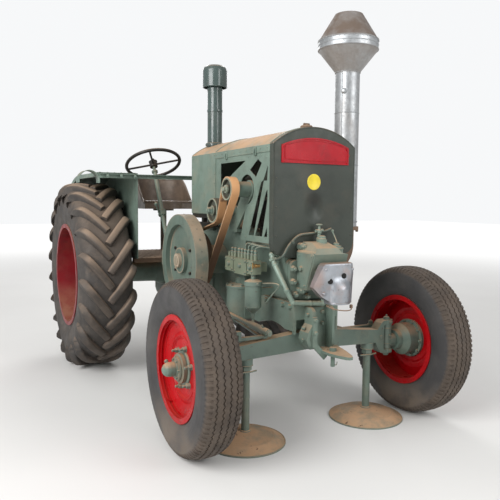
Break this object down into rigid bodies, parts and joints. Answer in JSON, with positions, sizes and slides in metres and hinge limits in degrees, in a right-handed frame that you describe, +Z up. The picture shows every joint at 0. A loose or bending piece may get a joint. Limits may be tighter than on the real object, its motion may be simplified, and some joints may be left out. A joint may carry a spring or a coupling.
{
  "type": "vintage farm tractor",
  "caption": "Single-cylinder farm tractor with a tall exhaust stack, belt-driven fan, open grille panels and lugged rear tyres, its front axle held up by two stands.",
  "frame": {"origin": "On the ground, under the middle of the tractor's outline.", "axes": "+X to the tractor's left, +Y to its rear (it faces -Y), +Z up."},
  "size_m": [2.054, 3.217, 2.475],
  "materials": {
    "sage_paint": "aged satin enamel with dust",
    "dark_sage_paint": "aged satin enamel with dust",
    "bright_red_paint": "gloss enamel",
    "dull_red_paint": "dusty enamel",
    "tyre_rubber": "dusty worn rubber",
    "galvanised_sheet": "dull zinc-grey sheet",
    "bare_aluminium": "dull cast and sheet metal",
    "belt_leather": "worn brown leather",
    "dusty_iron": "brown dusty iron",
    "black_paint": "black enamel"
  },
  "bodies": {
    "tractor": {"crankcase": "sage_paint", "cylinder_block": "sage_paint", "cylinder_head": "sage_paint", "heat_shield": "bare_aluminium", "front_support": "sage_paint", "tow_hitch": "dusty_iron", "axle_beam": "sage_paint", "rear_axle_housing": "sage_paint", "drawbar": "dusty_iron", "radiator": "black_paint", "bonnet_front": "dark_sage_paint", "bonnet_side_right": "sage_paint", "bonnet_side_left": "sage_paint", "bonnet_top": "sage_paint", "bonnet_rear": "sage_paint", "nameplate": "bright_red_paint", "exhaust_stack": "galvanised_sheet", "exhaust_pipe": "dusty_iron", "intake_pipe": "sage_paint", "fan_bracket": "sage_paint", "drive_belt": "belt_leather", "lubricator": "sage_paint", "fuel_filter": "sage_paint", "pipes": "bare_aluminium", "fender_right": "sage_paint", "fender_left": "sage_paint", "cross_rail": "sage_paint", "platform": "dusty_iron", "seat": "dusty_iron", "steering_column": "sage_paint", "controls": "black_paint", "axle_stands": "dusty_iron"},
    "knuckle_right": {"knuckle_right": "sage_paint"},
    "knuckle_left": {"knuckle_left": "sage_paint"},
    "wheel_front_right": {"front_wheel_right": "bright_red_paint", "front_tyre_right": "tyre_rubber"},
    "wheel_front_left": {"front_wheel_left": "bright_red_paint", "front_tyre_left": "tyre_rubber"},
    "wheel_rear_right": {"rear_wheel_right": "dull_red_paint", "rear_tyre_right": "tyre_rubber"},
    "wheel_rear_left": {"rear_wheel_left": "dull_red_paint", "rear_tyre_left": "tyre_rubber"},
    "tie_rod": {"tie_rod": "sage_paint"},
    "drag_link": {"drag_link": "sage_paint"},
    "drop_arm": {"drop_arm": "sage_paint"},
    "steering_wheel": {"steering_wheel": "black_paint"},
    "crank": {"flywheel": "sage_paint", "belt_pulley": "sage_paint"},
    "fan": {"fan_pulley": "bare_aluminium"},
    "idler": {"idler_pulley": "bare_aluminium"}
  },
  "joints": [
    {"name": "steer_right", "type": "hinge", "parent": "tractor", "child": "knuckle_right", "pos_m": [-0.575, -1.145, 0.464], "axis": [0, 0, 1], "range_deg": [-30, 30]},
    {"name": "steer_left", "type": "hinge", "parent": "tractor", "child": "knuckle_left", "pos_m": [0.575, -1.145, 0.464], "axis": [0, 0, 1], "range_deg": [-30, 30]},
    {"name": "front_right_spin", "type": "hinge", "parent": "knuckle_right", "child": "wheel_front_right", "pos_m": [-0.7575, -1.145, 0.464], "axis": [1, 0, 0], "continuous": true},
    {"name": "front_left_spin", "type": "hinge", "parent": "knuckle_left", "child": "wheel_front_left", "pos_m": [0.7575, -1.145, 0.464], "axis": [1, 0, 0], "continuous": true},
    {"name": "rear_right_spin", "type": "hinge", "parent": "tractor", "child": "wheel_rear_right", "pos_m": [-0.815, 0.875, 0.734], "axis": [1, 0, 0], "continuous": true},
    {"name": "rear_left_spin", "type": "hinge", "parent": "tractor", "child": "wheel_rear_left", "pos_m": [0.815, 0.875, 0.734], "axis": [1, 0, 0], "continuous": true},
    {"name": "tie_rod_pin", "type": "hinge", "parent": "knuckle_right", "child": "tie_rod", "pos_m": [-0.575, -0.995, 0.531], "axis": [0, 0, 1], "range_deg": [-30, 30]},
    {"name": "drag_link_pin", "type": "hinge", "parent": "knuckle_right", "child": "drag_link", "pos_m": [-0.312, -1.145, 0.611], "axis": [0, 0, 1], "range_deg": [-30, 30]},
    {"name": "drop_arm_swing", "type": "hinge", "parent": "tractor", "child": "drop_arm", "pos_m": [-0.295, 0.227, 0.895], "axis": [1, 0, 0], "range_deg": [-37, 37]},
    {"name": "steering_wheel_turn", "type": "hinge", "parent": "tractor", "child": "steering_wheel", "pos_m": [-0.35, 0.60379, 1.6188], "axis": [0, 0.4617, 0.887], "range_deg": [-420, 420]},
    {"name": "crank_spin", "type": "hinge", "parent": "tractor", "child": "crank", "pos_m": [0, -0.385, 0.945], "axis": [1, 0, 0], "continuous": true},
    {"name": "fan_spin", "type": "hinge", "parent": "tractor", "child": "fan", "pos_m": [-0.3, -0.857, 1.402], "axis": [1, 0, 0], "continuous": true},
    {"name": "idler_spin", "type": "hinge", "parent": "tractor", "child": "idler", "pos_m": [-0.382, -0.656, 1.274], "axis": [1, 0, 0], "continuous": true}
  ],
  "couplings": [
    {"joint": "steer_left", "follows": "steer_right", "ratio": 1},
    {"joint": "tie_rod_pin", "follows": "steer_right", "ratio": -1},
    {"joint": "drag_link_pin", "follows": "steer_right", "ratio": -1},
    {"joint": "drop_arm_swing", "follows": "steer_right", "ratio": 1.229},
    {"joint": "steering_wheel_turn", "follows": "steer_right", "ratio": 14},
    {"joint": "fan_spin", "follows": "crank_spin", "ratio": 2.7273},
    {"joint": "idler_spin", "follows": "crank_spin", "ratio": -2.3684}
  ]
}
